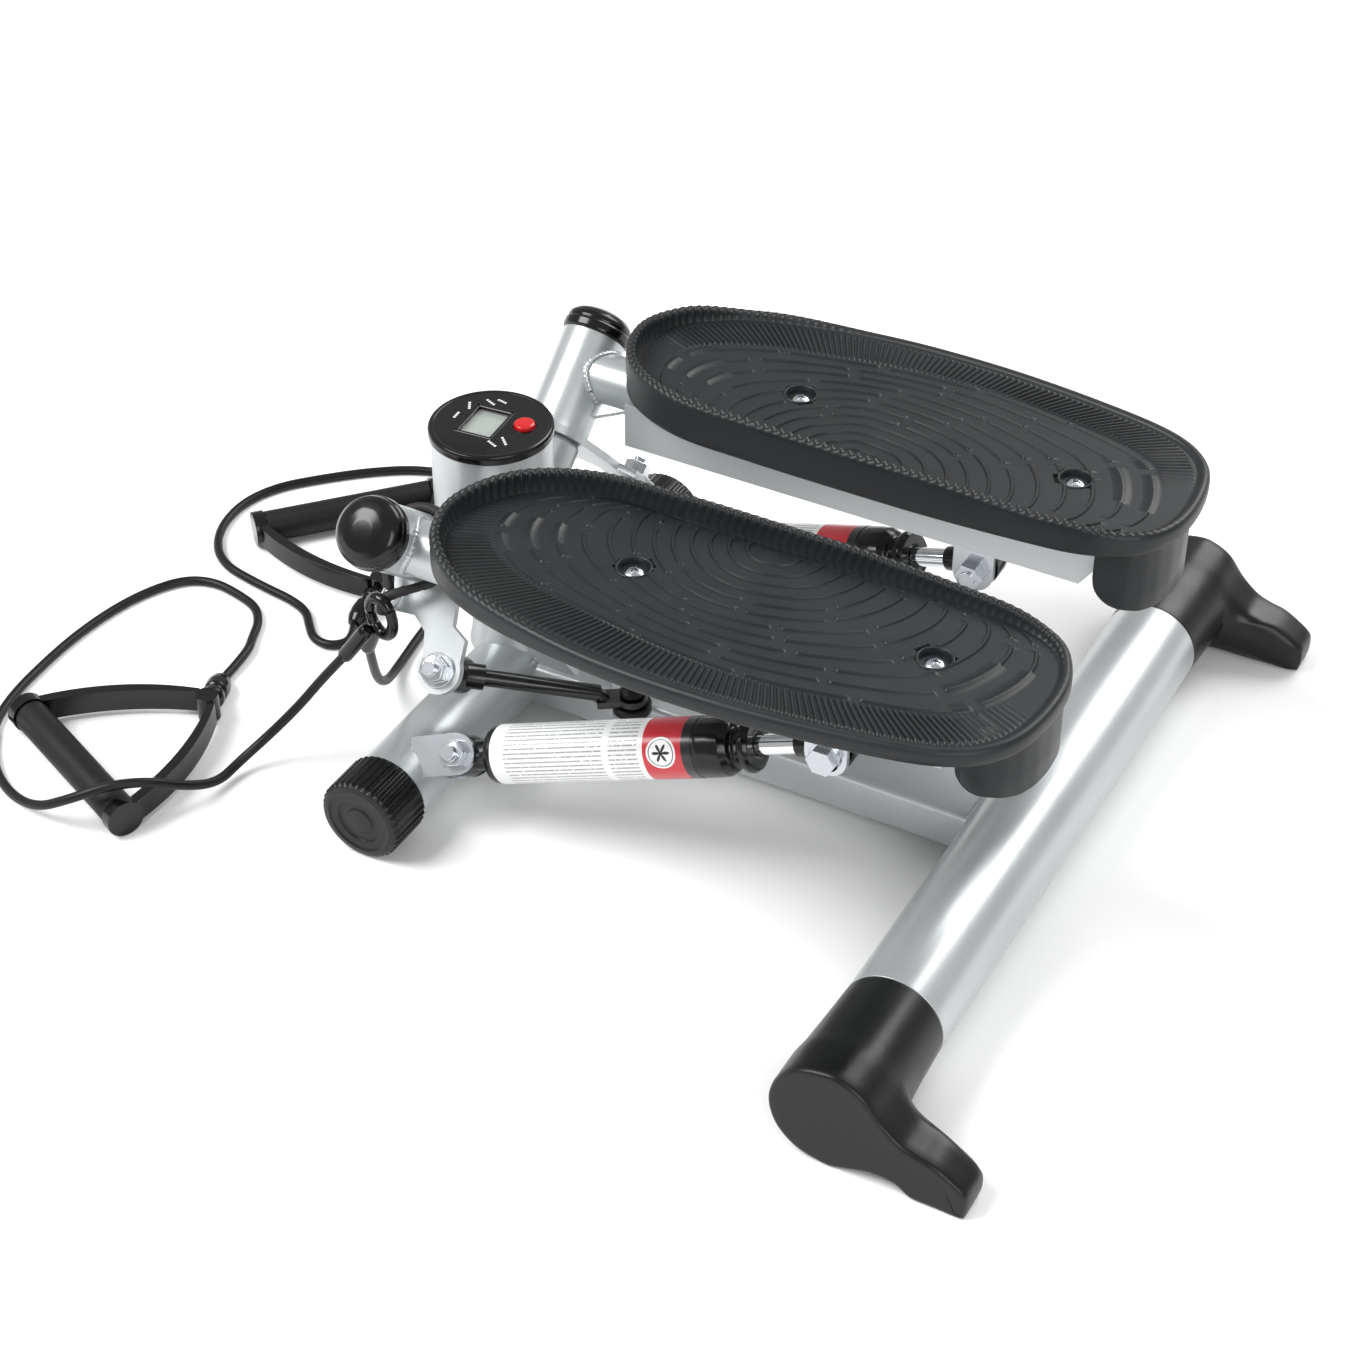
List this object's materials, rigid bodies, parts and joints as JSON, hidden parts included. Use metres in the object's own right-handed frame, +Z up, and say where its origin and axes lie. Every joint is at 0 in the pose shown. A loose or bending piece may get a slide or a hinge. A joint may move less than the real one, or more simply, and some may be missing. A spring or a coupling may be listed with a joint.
{
  "type": "mini swing stepper",
  "caption": "Low exercise stepper whose two footboards swing down and outwards in turn on leaning pivots, with hydraulic dampers, a step counter and elastic arm bands.",
  "frame": {"origin": "floor level, under the centre of the box round everything but the elastic bands, their plugs and hook", "axes": "+X towards the user's right, +Y the way the user faces (towards the counter), +Z up"},
  "size_m": [0.458, 0.6008, 0.1854],
  "materials": {
    "band_rubber": "satin black latex",
    "black_plastic": "glossy black",
    "board_green": "solder mask",
    "bush_bronze": "plain sintered bronze",
    "button_red": "gloss red",
    "cap_plastic": "semi-gloss black",
    "cell_steel": "nickel",
    "chrome": "polished hard chrome",
    "damper_paint": "gloss black with a printed label",
    "grip_foam": "matte black",
    "lcd_grey": "grey green",
    "lens_clear": "clear",
    "pedal_plastic": "moulded, fine grain, dark slate grey",
    "silver_paint": "satin light silver paint",
    "webbing": "woven black",
    "zinc": "bright zinc plate"
  },
  "bodies": {
    "frame": {"rear_tube": "silver_paint", "front_tube": "silver_paint", "main_beam": "silver_paint", "centre_post": "silver_paint", "support_column": "silver_paint", "rear_caps": "cap_plastic", "front_caps": "cap_plastic", "post_gussets": "silver_paint", "pivot_shaft_left": "zinc", "pivot_shaft_right": "zinc", "shaft_retainers": "zinc", "damper_brackets": "silver_paint", "bracket_bolts": "zinc", "rocker_pivot": "zinc", "display_cap": "black_plastic", "display_lens": "lens_clear", "lcd_screen": "lcd_grey", "circuit_board": "board_green", "battery_cell": "cell_steel", "handle_bow_left": "black_plastic", "handle_bow_right": "black_plastic", "handle_grips": "grip_foam", "band_left": "band_rubber", "band_right": "band_rubber", "band_plugs": "black_plastic", "band_hook": "zinc", "strap_loop": "webbing"},
    "left_arm": {"pivot_sleeve_left": "silver_paint", "pivot_bushes_left": "bush_bronze", "dome_cap_left": "black_plastic", "lug_plate_left": "silver_paint", "rod_pin_left": "zinc", "stub_tube_left": "silver_paint", "pedal_bar_left": "silver_paint", "pedal_left": "pedal_plastic", "pedal_bolts_left": "zinc", "clevis_left": "zinc", "clevis_pin_left": "zinc"},
    "right_arm": {"pivot_sleeve_right": "silver_paint", "pivot_bushes_right": "bush_bronze", "dome_cap_right": "black_plastic", "lug_plate_right": "silver_paint", "rod_pin_right": "zinc", "stub_tube_right": "silver_paint", "pedal_bar_right": "silver_paint", "pedal_right": "pedal_plastic", "pedal_bolts_right": "zinc", "clevis_right": "zinc", "clevis_pin_right": "zinc"},
    "rocker": {"rocker_arm": "silver_paint", "rocker_pads": "zinc"},
    "tie_rod_left": {"tie_rod_left": "black_plastic"},
    "tie_rod_right": {"tie_rod_right": "black_plastic"},
    "damper_left": {"damper_cylinder_left": "damper_paint", "damper_gland_left": "black_plastic"},
    "damper_right": {"damper_cylinder_right": "damper_paint", "damper_gland_right": "black_plastic"},
    "plunger_left": {"piston_rod_left": "chrome"},
    "plunger_right": {"piston_rod_right": "chrome"},
    "counter_button": {"reset_button": "button_red"}
  },
  "joints": [
    {"name": "left_arm_swing", "type": "hinge", "parent": "frame", "child": "left_arm", "pos_m": [0, 0.08547, 0.0713], "axis": [0.766, 0, -0.6428], "range_deg": [-12, 12]},
    {"name": "right_arm_swing", "type": "hinge", "parent": "frame", "child": "right_arm", "pos_m": [0, 0.08547, 0.0713], "axis": [0.766, 0, 0.6428], "range_deg": [-12, 12]},
    {"name": "rocker_turn", "type": "hinge", "parent": "frame", "child": "rocker", "pos_m": [0, 0.00947, 0.038], "axis": [0, 0, 1], "range_deg": [-14, 14]},
    {"name": "tie_rod_left_turn", "type": "hinge", "parent": "rocker", "child": "tie_rod_left", "pos_m": [-0.035, -0.01453, 0.0488], "axis": [0.1828, 0.1254, -0.9751], "range_deg": [-12, 12]},
    {"name": "tie_rod_right_turn", "type": "hinge", "parent": "rocker", "child": "tie_rod_right", "pos_m": [0.035, -0.01453, 0.0488], "axis": [0.1828, -0.1254, 0.9751], "range_deg": [-12, 12]},
    {"name": "damper_left_tilt", "type": "hinge", "parent": "frame", "child": "damper_left", "pos_m": [-0.1039, 0.04217, 0.0383], "axis": [0.7208, -0.001, -0.6932], "range_deg": [-12.7, 12.7]},
    {"name": "damper_right_tilt", "type": "hinge", "parent": "frame", "child": "damper_right", "pos_m": [0.1039, 0.04217, 0.0383], "axis": [0.7208, 0.001, 0.6932], "range_deg": [-12.7, 12.7]},
    {"name": "plunger_left_slide", "type": "slide", "parent": "damper_left", "child": "plunger_left", "axis": [0.1034, -0.9359, 0.3368], "range_m": [-0.0208, 0.0208]},
    {"name": "plunger_right_slide", "type": "slide", "parent": "damper_right", "child": "plunger_right", "axis": [-0.1034, -0.9359, 0.3368], "range_m": [-0.0208, 0.0208]},
    {"name": "button_press", "type": "slide", "parent": "frame", "child": "counter_button", "axis": [0, 0, -1], "range_m": [0, 0.0015], "stiffness_N_per_m": 600}
  ],
  "couplings": [
    {"joint": "right_arm_swing", "follows": "left_arm_swing", "ratio": -1},
    {"joint": "rocker_turn", "follows": "left_arm_swing", "ratio": -1.1641},
    {"joint": "tie_rod_left_turn", "follows": "left_arm_swing", "ratio": -0.9972},
    {"joint": "tie_rod_right_turn", "follows": "left_arm_swing", "ratio": 0.9972},
    {"joint": "damper_left_tilt", "follows": "left_arm_swing", "ratio": 1.0574},
    {"joint": "damper_right_tilt", "follows": "left_arm_swing", "ratio": -1.0574},
    {"joint": "plunger_left_slide", "follows": "left_arm_swing", "m_per_rad": -0.099227},
    {"joint": "plunger_right_slide", "follows": "left_arm_swing", "m_per_rad": 0.099227}
  ]
}
